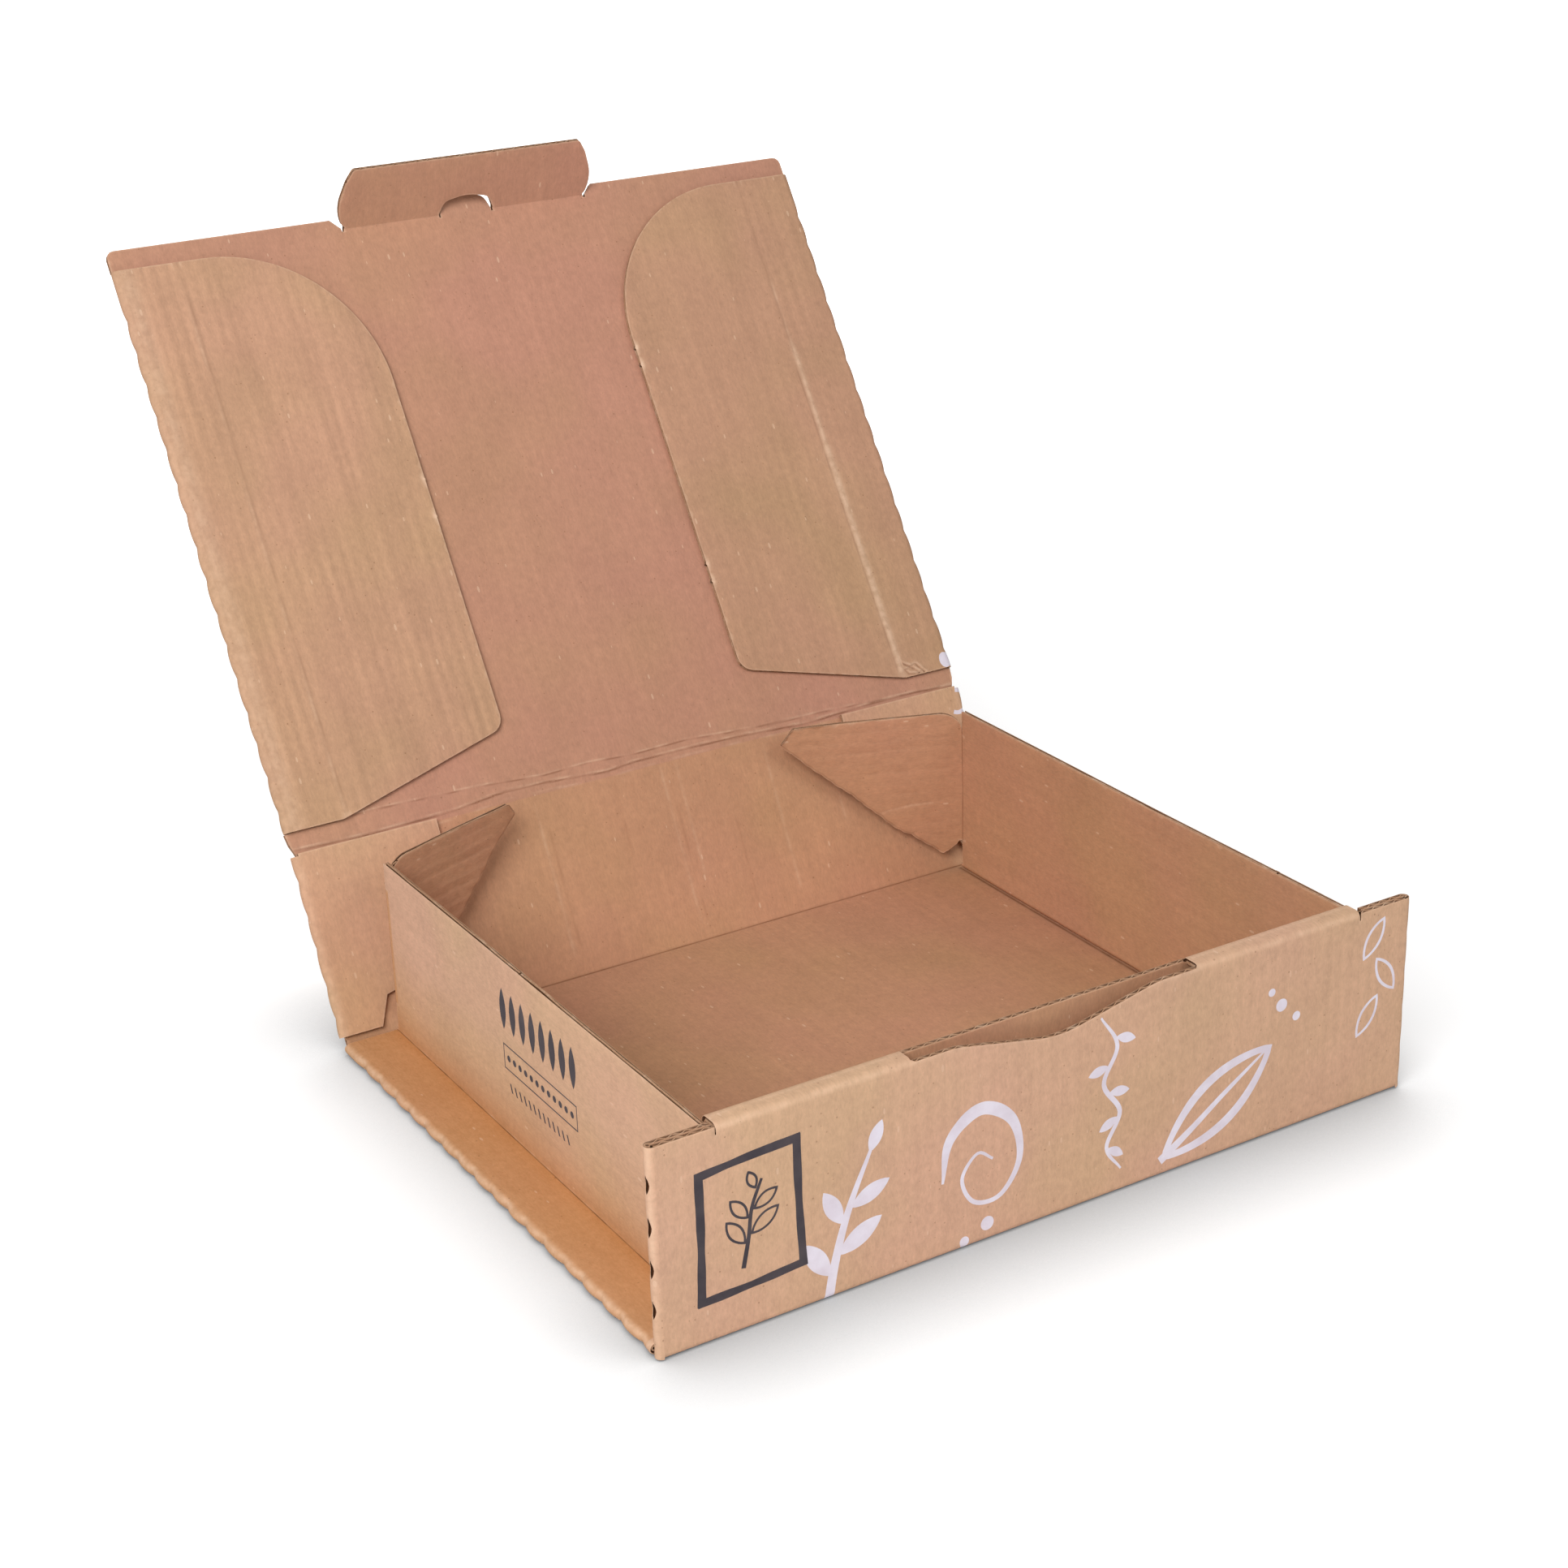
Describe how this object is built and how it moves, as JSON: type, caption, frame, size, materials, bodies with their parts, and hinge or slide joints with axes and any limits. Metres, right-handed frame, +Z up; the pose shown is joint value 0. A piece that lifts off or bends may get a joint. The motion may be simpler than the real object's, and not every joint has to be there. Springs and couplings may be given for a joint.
{
  "type": "bottle shipping box",
  "caption": "Flat corrugated shipping box for bottles with a leaning back wall, an open hinged lid, folding wings and a tuck flap.",
  "frame": {"origin": "middle of the underside of the base panel", "axes": "+Z up, -Y towards the front wall with the slot, +Y towards the back wall and the open lid, +X to the right seen from the front"},
  "size_m": [0.4, 0.5451, 0.3883],
  "materials": {
    "kraft_board": "plain brown kraft liner, matt",
    "kraft_lid": "plain brown kraft liner, matt, a little redder",
    "kraft_wing": "plain brown kraft liner, matt, faint flute lines"
  },
  "bodies": {
    "tray": {"tray": "kraft_board"},
    "back_wall": {"back_wall": "kraft_board"},
    "lid": {"lid": "kraft_lid"},
    "tuck_flap": {"tuck_flap": "kraft_lid"},
    "right_wing_strip": {"right_wing_strip": "kraft_wing"},
    "right_wing_panel": {"right_wing_panel": "kraft_wing"},
    "left_wing_strip": {"left_wing_strip": "kraft_wing"},
    "left_wing_panel": {"left_wing_panel": "kraft_wing"},
    "right_corner_flap": {"right_corner_flap": "kraft_board"},
    "left_corner_flap": {"left_corner_flap": "kraft_board"}
  },
  "joints": [
    {"name": "back_wall_hinge", "type": "hinge", "parent": "tray", "child": "back_wall", "pos_m": [0, 0.1601, 0.0014], "axis": [1, 0, 0], "range_deg": [-15.2, 27]},
    {"name": "lid_hinge", "type": "hinge", "parent": "back_wall", "child": "lid", "pos_m": [0, 0.20564, 0.09077], "axis": [1, 0, 0], "range_deg": [-54, 96]},
    {"name": "tuck_flap_hinge", "type": "hinge", "parent": "lid", "child": "tuck_flap", "pos_m": [0, 0.37758, 0.35554], "axis": [1, 0, 0], "range_deg": [-22.5, 40]},
    {"name": "left_strip_hinge", "type": "hinge", "parent": "lid", "child": "left_wing_strip", "pos_m": [-0.2, 0.20438, 0.09158], "axis": [0, 0.5446, 0.8387], "range_deg": [-180, 0]},
    {"name": "left_panel_hinge", "type": "hinge", "parent": "left_wing_strip", "child": "left_wing_panel", "pos_m": [-0.167, 0.20312, 0.0924], "axis": [0, -0.5446, -0.8387], "range_deg": [0, 90]},
    {"name": "right_strip_hinge", "type": "hinge", "parent": "lid", "child": "right_wing_strip", "pos_m": [0.2, 0.20438, 0.09158], "axis": [0, -0.5446, -0.8387], "range_deg": [-180, 0]},
    {"name": "right_panel_hinge", "type": "hinge", "parent": "right_wing_strip", "child": "right_wing_panel", "pos_m": [0.167, 0.20312, 0.0924], "axis": [0, 0.5446, 0.8387], "range_deg": [0, 90]},
    {"name": "left_corner_flap_hinge", "type": "hinge", "parent": "tray", "child": "left_corner_flap", "pos_m": [-0.1706, 0.154, 0], "axis": [0, 0, -1], "range_deg": [-11.9, 21]},
    {"name": "right_corner_flap_hinge", "type": "hinge", "parent": "tray", "child": "right_corner_flap", "pos_m": [0.1706, 0.154, 0], "axis": [0, 0, 1], "range_deg": [-11.9, 21]}
  ],
  "couplings": [
    {"joint": "back_wall_hinge", "follows": "lid_hinge", "ratio": 0.28125},
    {"joint": "tuck_flap_hinge", "follows": "lid_hinge", "ratio": 0.41666},
    {"joint": "left_corner_flap_hinge", "follows": "lid_hinge", "ratio": 0.21875},
    {"joint": "right_corner_flap_hinge", "follows": "lid_hinge", "ratio": 0.21875}
  ]
}
